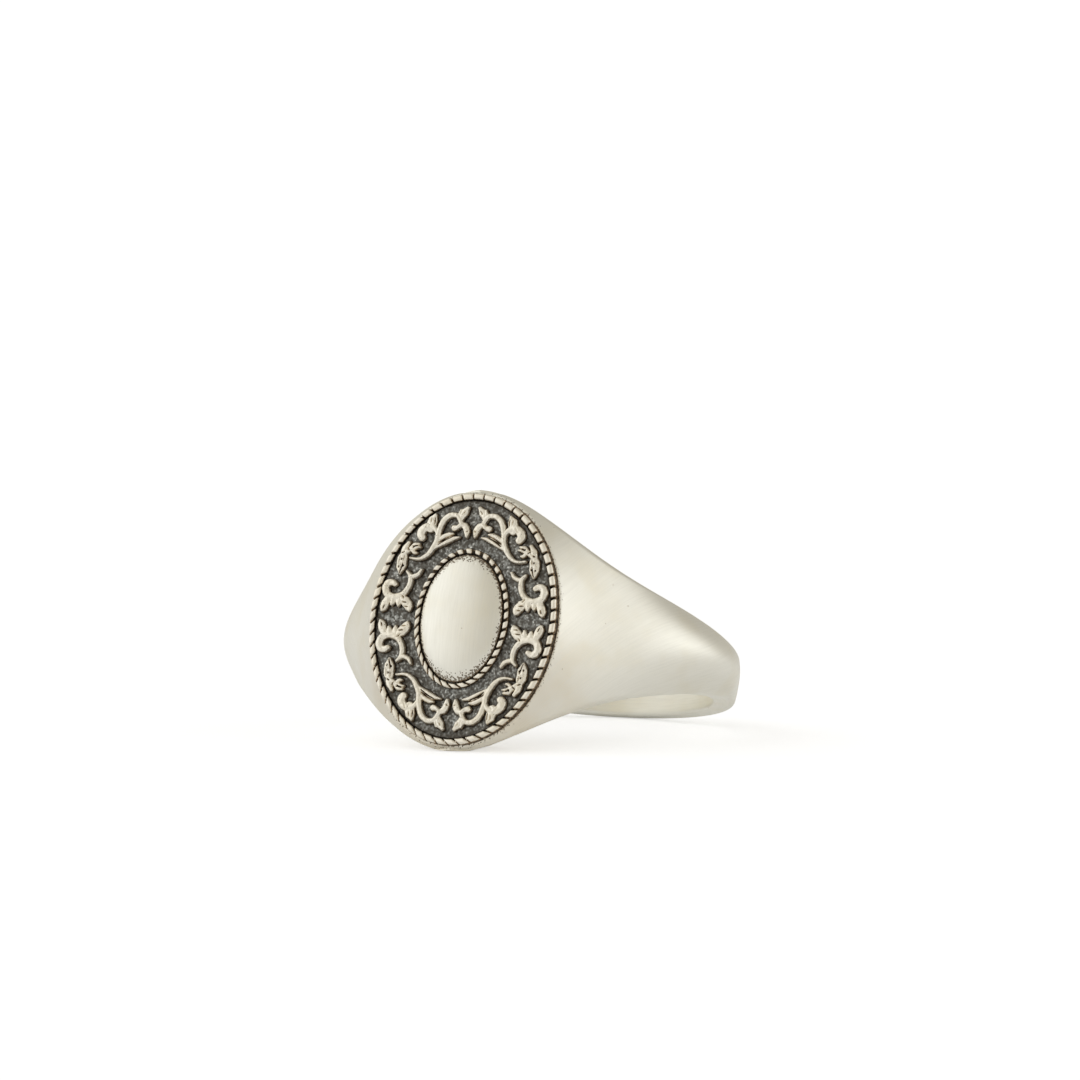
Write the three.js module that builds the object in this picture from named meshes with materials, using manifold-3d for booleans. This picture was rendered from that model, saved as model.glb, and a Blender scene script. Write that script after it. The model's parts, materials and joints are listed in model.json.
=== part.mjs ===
// A signet ring in oxidised, satin-finished silver. A wide head tapers along both shoulders
// into a plain band. The head's flat oval table carries a darkened ground plate, a rope border
// round the rim, a finer rope round a smooth oval dome, and scrollwork in four mirrored
// quarters between the two ropes: a corner scroll, a leaf spray and a side scroll in each.
//
// Ring frame, millimetres: origin on the bore axis at mid height, X across the head,
// Y from the head to the back of the band, Z along the bore axis. The whole ring is then
// laid on its side, as it rests on a bench: on the edge of the head and the edge of the band.

import * as THREE from 'three';
import { ParametricGeometry } from 'three/addons/geometries/ParametricGeometry.js';
import { mergeVertices } from 'three/addons/utils/BufferGeometryUtils.js';
import Module from 'manifold-3d';

const manifold = await Module();
manifold.setup();

// ---- driving dimensions, mm ----
const BORE_RADIUS = 9.2;           // finger hole, about US size 8.5
const BAND_RADIUS = 10.6;          // outside of the band at the back
const BAND_HALF = 1.4;             // half width of the band at the back
const HEAD_HALF = 7.55;            // half height of the head at its rim
const HEAD_TAPER = 0.3;            // how fast the head's walls draw in towards the bore
const TABLE = 12.8;                // bore axis to the flat table
const TABLE_HALF_X = 5.93;         // oval table, half axes
const TABLE_HALF_Z = 7.4;
const SHOULDER_END = rad(115);     // angle from the head where the shoulder meets the band
const FULLNESS = 1.6;              // swell of the shoulders beyond a plain taper
const SHOULDER_CROWN = 1.2;        // how much of that swell is lost at the shoulders' edges
const BAND_START = rad(108);       // angle where the band's width becomes constant
const CROWN = 0.15;                // rise of the band's outside at the middle of its width
const BORE_EDGE = 0.2;             // chamfer at both edges of the bore
const GAP = 0.02;                  // clearance between soldered pieces

const PLATE_THICK = 0.2;
const GROUND = PLATE_THICK + GAP;  // height of the ground above the table
const OUTER_ROPE = { halfX: 5.67, halfZ: 7.09, width: 0.2, height: 0.23, beads: 59, slices: 177 };
const INNER_ROPE = { halfX: 2.79, halfZ: 3.91, width: 0.16, height: 0.16, beads: 38, slices: 114 };
const DOME = { halfX: 2.5, halfZ: 3.61, height: 0.75 };
const SCROLL_HEIGHT = 0.38;
const LEAF_HEIGHT = 0.34;

// ---- materials ----
const satinSilver = new THREE.MeshStandardMaterial({ color: 0xe4e1d4, roughness: 0.42, metalness: 1 });
const reliefSilver = new THREE.MeshStandardMaterial({ color: 0xd8d2c2, roughness: 0.45, metalness: 1 });
const oxidisedSilver = new THREE.MeshStandardMaterial({ color: 0x4a4c4c, roughness: 0.7, metalness: 1 });

function rad(degrees) {
  return degrees * Math.PI / 180;
}

function clamp01(value) {
  return Math.min(Math.max(value, 0), 1);
}

function closed(geometry) {
  geometry.deleteAttribute('normal');
  geometry.deleteAttribute('uv');
  return mergeVertices(geometry, 1e-5);
}

// ---- the silver body: head, shoulders and band in one piece ----

// Half width of the body at an angle from the head: a broad head that narrows along the
// shoulders and runs out into a band of constant width.
function halfWidth(angle) {
  const head = 0.54 * Math.exp(-((angle / rad(28)) ** 2));
  const shoulder = 0.23 * (1 + Math.cos(Math.PI * Math.min(angle / BAND_START, 1)));
  return BAND_HALF + (HEAD_HALF - BAND_HALF) * (head + shoulder);
}

// Half height of the oval table where the plane at this angle crosses it, 0 past its rim.
function tableHalf(angle) {
  if (angle >= Math.atan(TABLE_HALF_X / TABLE)) return 0;
  const x = TABLE * Math.tan(angle);
  return TABLE_HALF_Z * Math.sqrt(1 - (x / TABLE_HALF_X) ** 2);
}

// Outside radius of the body at an angle from the head and a height z: flat over the table,
// then a full shoulder that starts at the oval rim and eases into the round band.
function outerRadius(angle, z) {
  const level = Math.min(Math.abs(z) / TABLE_HALF_Z, 1);
  const rimAngle = Math.atan(TABLE_HALF_X * Math.sqrt(1 - level ** 2) / TABLE);
  if (angle <= rimAngle) return TABLE / Math.cos(angle);
  const along = clamp01((angle - rimAngle) / (SHOULDER_END - rimAngle));
  const rim = TABLE / Math.cos(rimAngle);
  const taper = (rim - BAND_RADIUS) * (1 - along) ** 4;
  const across = (z / halfWidth(angle)) ** 2;
  const swell = (FULLNESS - SHOULDER_CROWN * across) * Math.sin(Math.PI * along ** 0.9) ** 2;
  return BAND_RADIUS + taper + swell - CROWN * along * across;
}

// One half of the body's section at an angle, from the bore's middle up its wall, over the
// rounded outer edge and back to the middle of the outside: [radius, z] pairs.
function halfSection(angle) {
  const width = halfWidth(angle);
  const table = tableHalf(angle);
  const soft = 0.35 + 0.2 * Math.exp(-((angle / rad(60)) ** 2));
  const corner = Math.min(soft, 0.6 * (width - table));
  const edge = width - corner;
  const fall = (outerRadius(angle, edge - 0.05) - outerRadius(angle, edge)) / 0.05;
  const tilt = Math.atan(Math.min(Math.max(fall, 0), 2));
  const shoulderZ = width - corner * (1 - Math.sin(tilt));
  const crease = Math.max(table, 0.4 * width);
  const cornerR = outerRadius(angle, shoulderZ) - corner * Math.cos(tilt);
  const taper = HEAD_TAPER * Math.exp(-((angle / rad(40)) ** 2));
  const wall = width - taper * (cornerR - BORE_RADIUS - BORE_EDGE);
  const section = [
    [BORE_RADIUS, 0],
    [BORE_RADIUS, wall - BORE_EDGE],
    [BORE_RADIUS + BORE_EDGE, wall],
  ];
  for (const share of [0, 1 / 3, 2 / 3]) {
    const turn = share * (Math.PI / 2 - tilt);
    section.push([cornerR + corner * Math.sin(turn), edge + corner * Math.cos(turn)]);
  }
  for (const z of [shoulderZ, (shoulderZ + crease) / 2, crease, crease / 2, 0]) {
    section.push([outerRadius(angle, z), z]);
  }
  return section;
}

function makeBody() {
  const stations = 20;
  const steps = 72;
  const point = (u, v, target) => {
    const turn = 2 * Math.PI * (Math.round(u * steps) % steps) / steps;
    const angle = Math.min(turn, 2 * Math.PI - turn);
    const half = halfSection(angle);
    const index = Math.round(v * stations) % stations;
    const [radius, z] = half[Math.min(index, stations - index)];
    const side = index <= stations / 2 ? -1 : 1;
    target.set(radius * Math.sin(turn), -radius * Math.cos(turn), side * z);
  };
  return closed(new ParametricGeometry(point, steps, stations));
}

// ---- rope borders: an oval of twisted wire whose strands show as slanting beads ----
function makeRope({ halfX, halfZ, width, height, beads, slices }) {
  const sides = 6;
  const point = (u, v, target) => {
    const slice = Math.round(u * slices) % slices;
    const turn = 2 * Math.PI * slice / slices;
    const around = 2 * Math.PI * (Math.round(v * sides) % sides) / sides;
    const swell = 0.88 + 0.12 * Math.cos(beads * turn - 2 * around);
    const normal = new THREE.Vector2(Math.cos(turn) * halfZ, Math.sin(turn) * halfX).normalize();
    const out = width * swell * Math.cos(around);
    target.set(
      halfX * Math.cos(turn) + normal.x * out,
      halfZ * Math.sin(turn) + normal.y * out,
      height * (1 + swell * Math.sin(around)),
    );
  };
  return closed(new ParametricGeometry(point, slices, sides));
}

// ---- ground plate and dome: ovals on the table ----
function makePlate() {
  const rim = OUTER_ROPE.width + 0.03;
  const outline = new THREE.Shape();
  outline.absellipse(0, 0, OUTER_ROPE.halfX - rim, OUTER_ROPE.halfZ - rim, 0, 2 * Math.PI, false, 0);
  const settings = { depth: PLATE_THICK, bevelEnabled: false, curveSegments: 24 };
  return closed(new THREE.ExtrudeGeometry(outline, settings));
}

function makeDome() {
  const rings = 6;
  const profile = [new THREE.Vector2(0, 0), new THREE.Vector2(1, 0)];
  for (let ring = 0; ring <= rings; ring += 1) {
    const turn = rad(90) * ring / rings;
    profile.push(new THREE.Vector2(Math.cos(turn), 0.12 + (DOME.height - 0.12) * Math.sin(turn)));
  }
  profile[profile.length - 1].x = 0;
  const dome = new THREE.LatheGeometry(profile, 32);
  dome.rotateX(Math.PI / 2);
  dome.scale(DOME.halfX, DOME.halfZ, 1);
  return closed(dome);
}

// ---- scrollwork ----

// Every stroke of a scroll is a ribbon of metal: a smooth centreline [x, z] with half widths
// along it. The strokes below belong to the upper right quarter of the table.
const CORNER_SCROLL = [
  { // the long S-shaped stem
    line: [[0.69, 5.5], [0.98, 5.9], [1.43, 5.92], [1.82, 5.6], [2.04, 5.0], [2.16, 4.3], [2.58, 3.62],
      [3.1, 3.35], [3.64, 3.38]],
    half: [0.13, 0.16, 0.15, 0.06],
    height: SCROLL_HEIGHT,
  },
  { // hook that ends in a knob
    line: [[2.12, 4.85], [2.36, 5.15], [2.76, 5.23], [3.07, 5.05], [3.17, 4.75], [3.05, 4.58]],
    half: [0.1, 0.2, 0.25, 0.2],
    height: SCROLL_HEIGHT,
  },
  { // leaf on the hook
    line: [[2.62, 5.2], [2.52, 5.6], [2.38, 5.95]],
    half: [0.3, 0.27, 0.06],
    height: LEAF_HEIGHT,
  },
  { // long lobe of the inner fan
    line: [[2.21, 4.05], [1.72, 4.28], [1.23, 4.54], [0.71, 4.67]],
    half: [0.12, 0.09, 0.12, 0.04],
    height: LEAF_HEIGHT,
  },
  { // short lobe of the inner fan
    line: [[2.09, 4.42], [1.72, 4.68], [1.38, 4.83], [1.13, 4.86]],
    half: [0.09, 0.1, 0.1, 0.04],
    height: LEAF_HEIGHT,
  },
  { // outer leaf at the head of the stem
    line: [[0.77, 5.75], [0.59, 6.1], [0.37, 6.38]],
    half: [0.16, 0.22, 0.1],
    height: LEAF_HEIGHT,
  },
  { // inner leaf at the head of the stem
    line: [[0.69, 5.45], [0.44, 5.3], [0.3, 5.02], [0.27, 4.72]],
    half: [0.13, 0.19, 0.19, 0.08],
    height: LEAF_HEIGHT,
  },
  { // knob at the head of the stem
    line: [[0.67, 5.42], [0.89, 5.24], [1.11, 5.2]],
    half: [0.12, 0.13, 0.17],
    height: SCROLL_HEIGHT,
  },
];
const LEAF_SPRAY = [
  { // broad hanging leaf
    line: [[4.05, 3.7], [4.17, 3.3], [4.21, 2.9], [4.23, 2.45]],
    half: [0.14, 0.3, 0.28, 0.05],
    height: LEAF_HEIGHT,
  },
  { // small leaf above it
    line: [[4.13, 3.6], [4.03, 3.95], [3.81, 4.25]],
    half: [0.12, 0.14, 0.08],
    height: LEAF_HEIGHT,
  },
  { // stalk
    line: [[4.08, 3.62], [3.74, 3.84], [3.39, 3.98], [3.12, 4.02]],
    half: [0.12, 0.12, 0.1, 0.05],
    height: SCROLL_HEIGHT,
  },
  { // bud on the stalk
    line: [[3.72, 3.9], [3.49, 4.14], [3.21, 4.2]],
    half: [0.12, 0.12, 0.07],
    height: LEAF_HEIGHT,
  },
];
const SIDE_SCROLL = [
  { // stem and curl
    line: [[3.74, 2.58], [3.54, 2.35], [3.49, 1.95], [3.66, 1.5], [3.99, 1.2], [4.43, 1.1], [4.84, 1.24],
      [5, 1.58], [4.89, 1.87], [4.64, 1.94], [4.43, 1.84]],
    half: [0.08, 0.14, 0.15, 0.19, 0.18, 0.14],
    height: SCROLL_HEIGHT,
  },
  { // twig towards the dome
    line: [[2.85, 2.7], [3.03, 2.45], [3.35, 2.32], [3.58, 2.38]],
    half: [0.08, 0.12, 0.12, 0.1],
    height: SCROLL_HEIGHT,
  },
  { // inner petal of the flower
    line: [[3.94, 1.15], [3.66, 0.86], [3.44, 0.6], [3.35, 0.34]],
    half: [0.12, 0.25, 0.24, 0.07],
    height: LEAF_HEIGHT,
  },
  { // two short petals in the middle
    line: [[4.05, 1.1], [4.09, 0.86], [4.06, 0.62]],
    half: [0.16, 0.14, 0.06],
    height: LEAF_HEIGHT,
  },
  {
    line: [[4.38, 1.05], [4.48, 0.85], [4.53, 0.68]],
    half: [0.16, 0.14, 0.06],
    height: LEAF_HEIGHT,
  },
  { // outer petal of the flower
    line: [[4.74, 1.1], [4.9, 0.75], [4.98, 0.5], [5.06, 0.3]],
    half: [0.16, 0.24, 0.22, 0.08],
    height: LEAF_HEIGHT,
  },
];

function halfWidthAlong(half, t) {
  const place = t * (half.length - 1);
  const index = Math.min(Math.floor(place), half.length - 2);
  return THREE.MathUtils.lerp(half[index], half[index + 1], place - index);
}

// A stroke as a solid: its outline runs up one side, round the tip and back down the other.
function makeStroke({ line, half, height }, flipX, flipZ) {
  const curve = new THREE.SplineCurve(line.map(([x, z]) => new THREE.Vector2(x * flipX, z * flipZ)));
  const steps = 2 * (line.length - 1);
  const left = [];
  const right = [];
  for (let step = 0; step <= steps; step += 1) {
    const t = step / steps;
    const centre = curve.getPoint(t);
    const tangent = curve.getTangent(t);
    const normal = new THREE.Vector2(-tangent.y, tangent.x).multiplyScalar(halfWidthAlong(half, t));
    left.push(centre.clone().add(normal));
    right.unshift(centre.clone().sub(normal));
  }
  const tip = curve.getPoint(1).add(curve.getTangent(1).multiplyScalar(0.8 * half[half.length - 1]));
  const outline = new THREE.Shape([...left, tip, ...right]);
  return closed(new THREE.ExtrudeGeometry(outline, { depth: height, bevelEnabled: false }));
}

function toSolid(geometry) {
  return new manifold.Manifold(new manifold.Mesh({
    numProp: 3,
    vertProperties: new Float32Array(geometry.attributes.position.array),
    triVerts: new Uint32Array(geometry.index.array),
  }));
}

function toGeometry(solid) {
  const mesh = solid.getMesh();
  const geometry = new THREE.BufferGeometry();
  geometry.setAttribute('position', new THREE.BufferAttribute(mesh.vertProperties, 3));
  geometry.setIndex(new THREE.BufferAttribute(mesh.triVerts, 1));
  return geometry;
}

function makeScroll(strokes, flipX, flipZ) {
  const [first, ...others] = strokes.map((stroke) => toSolid(makeStroke(stroke, flipX, flipZ)));
  return toGeometry(others.reduce((joined, stroke) => joined.add(stroke), first));
}

// ---- assembly ----
const ring = new THREE.Group();

function addMesh(parent, name, geometry, material, height = 0) {
  const mesh = new THREE.Mesh(geometry, material);
  mesh.name = name;
  mesh.position.z = height;
  parent.add(mesh);
}

const body = makeBody();
addMesh(ring, 'ring_body', body, satinSilver);

// The ornament is built on the table: X across, Y up the head, Z outwards.
const table = new THREE.Group();
table.rotation.x = Math.PI / 2;
table.position.y = -TABLE;
ring.add(table);
addMesh(table, 'ground_plate', makePlate(), oxidisedSilver, GAP);
addMesh(table, 'outer_rope', makeRope(OUTER_ROPE), reliefSilver, GAP);
addMesh(table, 'inner_rope', makeRope(INNER_ROPE), reliefSilver, GROUND + GAP);
addMesh(table, 'dome', makeDome(), satinSilver, GROUND + GAP);
for (const [quarter, flipX, flipZ] of [
  ['upper_right', 1, 1], ['upper_left', -1, 1], ['lower_right', 1, -1], ['lower_left', -1, -1],
]) {
  for (const [motif, strokes] of [
    ['corner_scroll', CORNER_SCROLL], ['leaf_spray', LEAF_SPRAY], ['side_scroll', SIDE_SCROLL],
  ]) {
    addMesh(table, `${motif}_${quarter}`, makeScroll(strokes, flipX, flipZ), reliefSilver, GROUND + GAP);
  }
}

// ---- rest pose ----

// The angle the bore axis leans back when the ring lies on its side: the line under the
// lowest point of the head and the lowest point of the band.
function restLean(geometry) {
  const { array } = geometry.attributes.position;
  let lean = 0;
  for (let pass = 0; pass < 6; pass += 1) {
    const lowest = { head: null, band: null };
    for (let i = 0; i < array.length; i += 3) {
      const [y, z] = [array[i + 1], array[i + 2]];
      const side = y < 0 ? 'head' : 'band';
      const drop = y * Math.sin(lean) - z * Math.cos(lean);
      if (!lowest[side] || drop > lowest[side].drop) lowest[side] = { y, z, drop };
    }
    const { head, band } = lowest;
    lean = Math.atan((band.z - head.z) / (band.y - head.y));
  }
  return lean;
}

ring.rotation.x = -restLean(body);
const group = new THREE.Group();
group.add(ring);
group.updateMatrixWorld(true);
const box = new THREE.Box3().setFromObject(group, true);
ring.position.set(0, -(box.min.y + box.max.y) / 2, -box.min.z);

export default group;
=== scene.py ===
"""A signet ring in oxidised, satin-finished silver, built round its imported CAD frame.

The ring is one rigid body. Its shapes are worked out in the ring's own frame, in millimetres:
origin on the bore axis at mid height, X across the head, Y from the head to the back of the
band, Z along the bore axis. to_row() then carries every point into the frame's own axes.
"""

import json
import math

import bpy
import numpy as np
from mathutils import Matrix, Vector, noise


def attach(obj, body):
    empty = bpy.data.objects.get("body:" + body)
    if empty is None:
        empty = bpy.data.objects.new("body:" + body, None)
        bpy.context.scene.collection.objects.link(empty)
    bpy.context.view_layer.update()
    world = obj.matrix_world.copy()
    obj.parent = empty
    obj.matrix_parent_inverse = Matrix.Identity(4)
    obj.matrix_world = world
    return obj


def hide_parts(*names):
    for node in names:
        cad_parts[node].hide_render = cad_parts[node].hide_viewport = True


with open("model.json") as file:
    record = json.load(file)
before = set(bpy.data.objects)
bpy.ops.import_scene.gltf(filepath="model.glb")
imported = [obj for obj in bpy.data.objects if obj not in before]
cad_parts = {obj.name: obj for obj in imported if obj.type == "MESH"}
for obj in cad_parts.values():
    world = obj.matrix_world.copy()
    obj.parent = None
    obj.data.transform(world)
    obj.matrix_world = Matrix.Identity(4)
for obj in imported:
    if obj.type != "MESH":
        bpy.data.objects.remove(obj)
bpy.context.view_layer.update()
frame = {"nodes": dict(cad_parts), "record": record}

# ---- sizes, mm; angles run from the middle of the head round to the back of the band ----
BORE_RADIUS = 9.2
BAND_RADIUS = 10.6        # outside of the band
BAND_HALF = 1.4           # half the band's width at the back
HEAD_HALF = 7.55          # half the head's width
HEAD_SHARE = 0.54         # of the head's extra width, the part that falls off close to the table
HEAD_SPREAD = math.radians(28)
HEAD_TAPER = 0.3          # how far the head's end walls close in per mm towards the bore
TAPER_SPREAD = math.radians(40)
TAPER_ROUNDING = 0.006    # rad squared, keeps the taper smooth across the middle of the head
TABLE = 12.8              # bore axis to the flat table
TABLE_HALF_X = 5.93
TABLE_HALF_Z = 7.4
TABLE_SPAN = 1.2          # rad, beyond which the table's plane can't cut the shoulder
SHOULDER_END = math.radians(115)
BAND_START = math.radians(108)
FULLNESS = 1.6            # how far the shoulders swell
SHOULDER_CROWN = 1.2      # how much of that swell is lost at the shoulders' edges
SWELL_LEAN = 0.9          # below 1 the fullest point lies nearer the head
CROWN = 0.15              # rounding across the band
BORE_EDGE = 0.2           # rounding of the bore's edges
OUTER_EDGE = 0.35         # rounding of the outside's edges
HEAD_EDGE = 0.2           # extra rounding of those edges at the head
EDGE_SPREAD = math.radians(60)
EDGE_STEP = 0.05          # distance over which the slope at the edge is measured
RIM_SOFTNESS = 0.035      # how softly the table's rim turns into the shoulder
GRIMY_HALF_X = 5.87       # the table is blackened inside this oval, under the rope
GRIMY_HALF_Z = 7.3
FACE_START = 0.985        # share of TABLE from which a point belongs to the face

GROUND = 0.22             # top of the ground plate above the table
GRAIN_HEIGHT = 0.05       # depth of the ground's granular texture
SCROLL_HEIGHT = 0.35      # above the ground
LEAF_HEIGHT = 0.32
EMBED = 0.1               # how far a soldered piece reaches below the ground
SCROLL_BACK = 0.03        # how far a scroll's flat back lies below its lowest walls
SCROLL_PITCH = 0.025      # mesh size of the scrollwork
SCROLL_MARGIN = 0.45      # how far its mesh reaches past the strokes' centrelines
FAR = 99.0                # farther than anything on the ring

MM = 0.001
PER_MM = (1000.0, 1000.0, 1000.0)   # turns object coordinates in m into mm

# ---- the ring's own frame ----
bore = next(m for m in frame["record"]["mounts"] if m["name"] == "finger_bore")
BORE_CENTRE = np.array(bore["pos_m"])
AXIS_Z = np.array(bore["axis"]) / np.linalg.norm(bore["axis"])
AXIS_X = np.array([1.0, 0.0, 0.0])
AXES = np.stack([AXIS_X, np.cross(AXIS_Z, AXIS_X), AXIS_Z])


def to_row(points):
    """Ring frame, mm, to row frame, m."""
    return BORE_CENTRE + MM * (np.asarray(points) @ AXES)


def ring_box(node):
    """Lowest and highest corner of a CAD node in the ring frame, mm."""
    mesh = frame["nodes"][node].data
    points = np.array([v.co for v in mesh.vertices]).reshape(-1, 3)
    local = (points - BORE_CENTRE) @ AXES.T / MM
    return local.min(0), local.max(0)


def on_table(x, z, out):
    """Points on the table: x across, z up the head, out above the table's plane."""
    return np.stack([x, -(TABLE + out), z], axis=-1)


# ---- helpers ----
def smoothstep(low, high, value):
    """0 at low, 1 at high, with a soft start and end; low may be the larger."""
    t = np.clip((value - low) / (high - low), 0.0, 1.0)
    return t * t * (3 - 2 * t)


def wobble(points, scale, seed):
    """Smooth noise from -1 to 1 at each point; scale is how many lumps fit in 1 mm."""
    shift = Vector((seed * 7.3, seed * 3.1, seed * 5.7))
    values = [noise.noise(Vector(p) * scale + shift) for p in points.reshape(-1, 3)]
    return np.array(values).reshape(points.shape[:-1])


def on_plane(x, z):
    """Points for wobble() from their places on the table alone."""
    return np.stack([x, z, 0 * x], axis=-1)


def torus_faces(rows, columns):
    """Quads of a grid that closes on itself both ways."""
    row, column = np.meshgrid(np.arange(rows), np.arange(columns), indexing="ij")
    next_row, next_column = (row + 1) % rows, (column + 1) % columns
    here, there = row * columns, next_row * columns
    corners = [here + column, there + column, there + next_column, here + next_column]
    return np.stack(corners, axis=-1).reshape(-1, 4)


def add_piece(name, points, faces, material, slot, node, **attributes):
    """A closed mesh in the ring frame becomes a piece that stands for its CAD node."""
    mesh = bpy.data.meshes.new(name)
    corners = [list(map(int, face)) for face in faces]
    mesh.from_pydata(to_row(points.reshape(-1, 3)).tolist(), [], corners)
    mesh.validate()
    mesh.shade_smooth()
    for key, values in attributes.items():
        if values.ndim > 1 and values.shape[-1] == 3:
            layer = mesh.attributes.new(key, "FLOAT_VECTOR", "POINT")
            layer.data.foreach_set("vector", values.astype(np.float32).ravel())
        else:
            layer = mesh.attributes.new(key, "FLOAT", "POINT")
            layer.data.foreach_set("value", values.astype(np.float32).ravel())
    mesh.materials.append(material)
    piece = bpy.data.objects.new(name, mesh)
    bpy.context.scene.collection.objects.link(piece)
    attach(piece, "root")
    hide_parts(node)


# ---- materials ----
# Linear colours: of the silver, from polished to black with oxide, then of the ground's texture.
BRIGHT = (0.905, 0.885, 0.80, 1.0)
WARM_BRIGHT = (0.935, 0.885, 0.775, 1.0)
# Painted light: the next colour is a warm painted reflection of the floor with painted shade.
PAINTED_WARM_REFLECTION = (0.78, 0.69, 0.54, 1.0)
SOILED = (0.44, 0.315, 0.19, 1.0)
SPECK = (0.15, 0.108, 0.068, 1.0)
BLACK = (0.075, 0.064, 0.05, 1.0)

GLINT = (0.85, 0.86, 0.82, 1)
WORN_CREST = (0.40, 0.41, 0.395, 1)
BROWN_OXIDE = (0.17, 0.155, 0.13, 1)
HOLLOW = (0.10, 0.094, 0.082, 1)
SOOT = (0.075, 0.063, 0.049, 1)

# Cells per mm.
PIT_CELLS = 2.6
SPECK_CELLS = 9.0
GLINT_CELLS = 13.0


class Nodes:
    """A short way to write a material's nodes."""

    def __init__(self, name):
        self.material = bpy.data.materials.new(name)
        self.material.use_nodes = True
        self.tree = self.material.node_tree
        self.shader = self.tree.nodes["Principled BSDF"]

    def add(self, kind, inputs=None, **settings):
        node = self.tree.nodes.new(kind)
        for key, value in settings.items():
            setattr(node, key, value)
        for key, value in (inputs or {}).items():
            if isinstance(value, bpy.types.NodeSocket):
                self.tree.links.new(value, node.inputs[key])
            else:
                node.inputs[key].default_value = value
        return node

    def attribute(self, name):
        return self.add("ShaderNodeAttribute", attribute_name=name)

    def math(self, operation, first, second=0.0, third=0.0, clamp=False):
        inputs = {0: first, 1: second, 2: third}
        return self.add("ShaderNodeMath", inputs, operation=operation, use_clamp=clamp).outputs[0]

    def noise(self, vector, scale, detail=3.0, roughness=0.55):
        inputs = {"Vector": vector, "Scale": scale, "Detail": detail, "Roughness": roughness}
        return self.add("ShaderNodeTexNoise", inputs).outputs["Fac"]

    def remap(self, value, low, high, start=0.0, end=1.0):
        inputs = {"Value": value, "From Min": low, "From Max": high, "To Min": start, "To Max": end}
        return self.add("ShaderNodeMapRange", inputs, interpolation_type="SMOOTHSTEP").outputs[0]

    def mix(self, factor, first, second):
        node = self.add("ShaderNodeMix", data_type="RGBA")
        for socket, value in ((0, factor), (6, first), (7, second)):
            if isinstance(value, bpy.types.NodeSocket):
                self.tree.links.new(value, node.inputs[socket])
            else:
                node.inputs[socket].default_value = value
        return node.outputs[2]

    def stretch(self, vector, factors):
        inputs = {0: vector, 1: factors}
        return self.add("ShaderNodeVectorMath", inputs, operation="MULTIPLY").outputs[0]

    def place_mm(self):
        """The point's own place on the object, in mm."""
        return self.stretch(self.add("ShaderNodeTexCoord").outputs["Object"], PER_MM)

    def cells(self, vector, scale):
        """Distance from each cell's centre, and a number from 0 to 1 drawn per cell."""
        inputs = {"Vector": vector, "Scale": scale}
        cells = self.add("ShaderNodeTexVoronoi", inputs, feature="F1").outputs
        drawn = self.add("ShaderNodeSeparateColor", {0: cells["Color"]}).outputs[0]
        return cells["Distance"], drawn

    def connect(self, value, socket):
        self.tree.links.new(value, self.shader.inputs[socket])


def silver(name, bright, roughness, pits, streaks):
    """Satin silver, brushed along the piece's own 'grain' coordinates (mm), with small casting
    pits in the given share of its cells. The attribute 'grime' is how far polish missed a place
    and left the oxide, 'stain' is how thickly black specks lie, and 'tan' is painted light: a
    warm painted reflection of the floor with painted shade, broken into patches."""
    n = Nodes(name)
    grain = n.attribute("grain").outputs["Vector"]
    place = n.place_mm()
    soft = n.noise(place, 0.45, 2.0)
    fine = n.noise(place, 9.0, 4.0, 0.65)
    brushed = n.noise(n.stretch(grain, streaks), 1.0, 4.0, 0.7)
    distance, drawn = n.cells(place, PIT_CELLS)
    rare = n.math("GREATER_THAN", drawn, 1.0 - pits)
    pit = n.math("MULTIPLY", n.remap(distance, 0.05, 0.12, 1.0, 0.0), rare)

    grime = n.math("ADD", n.attribute("grime").outputs["Fac"], n.remap(fine, 0.3, 0.7, -0.16, 0.16))
    low = n.remap(grime, 0.18, 0.62)
    deep = n.remap(grime, 0.55, 0.92)
    stain = n.attribute("stain").outputs["Fac"]
    distance, drawn = n.cells(place, SPECK_CELLS)
    chosen = n.math("LESS_THAN", drawn, n.math("MULTIPLY", stain, 0.85))
    reach = n.math("SUBTRACT", distance, n.math("MULTIPLY", stain, 0.5))
    specks = n.math("MULTIPLY", n.remap(reach, -0.02, 0.1, 1.0, 0.0), chosen)

    warm = [bright[0] * 0.95, bright[1] * 0.925, bright[2] * 0.86, 1.0]
    brushmark = [c * 0.91 for c in bright[:3]] + [1.0]
    tone = n.mix(n.remap(soft, 0.4, 0.75, 0.0, 0.75), bright, warm)
    patches = n.remap(soft, 0.2, 0.8, 0.35, 0.75)
    # Painted light: 'tan' mixes in a warm painted reflection of the floor and painted shade.
    tan = n.math("MULTIPLY", n.attribute("tan").outputs["Fac"], patches)
    tone = n.mix(tan, tone, PAINTED_WARM_REFLECTION)
    tone = n.mix(n.remap(brushed, 0.35, 0.75, 0.0, 0.6), tone, brushmark)
    tone = n.mix(n.math("MULTIPLY", pit, 0.55), tone, SOILED)
    tone = n.mix(low, tone, SOILED)
    tone = n.mix(deep, tone, BLACK)
    tone = n.mix(n.math("MULTIPLY", specks, 0.85), tone, SPECK)
    n.connect(tone, "Base Color")
    n.shader.inputs["Metallic"].default_value = 1.0
    rough = n.remap(brushed, 0.2, 0.8, roughness - 0.05, roughness + 0.07)
    rough = n.math("ADD", rough, n.math("MULTIPLY", low, 0.16), clamp=True)
    n.connect(rough, "Roughness")

    # Heights of the finish in mm.
    height = n.math("ADD", n.math("MULTIPLY", brushed, 0.006), n.math("MULTIPLY", fine, 0.004))
    height = n.math("SUBTRACT", height, n.math("MULTIPLY", pit, 0.02))
    height = n.math("SUBTRACT", height, n.math("MULTIPLY", specks, 0.02))
    bump = n.add("ShaderNodeBump", {"Height": height, "Distance": MM, "Strength": 0.8})
    n.connect(bump.outputs[0], "Normal")
    return n.material


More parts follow.
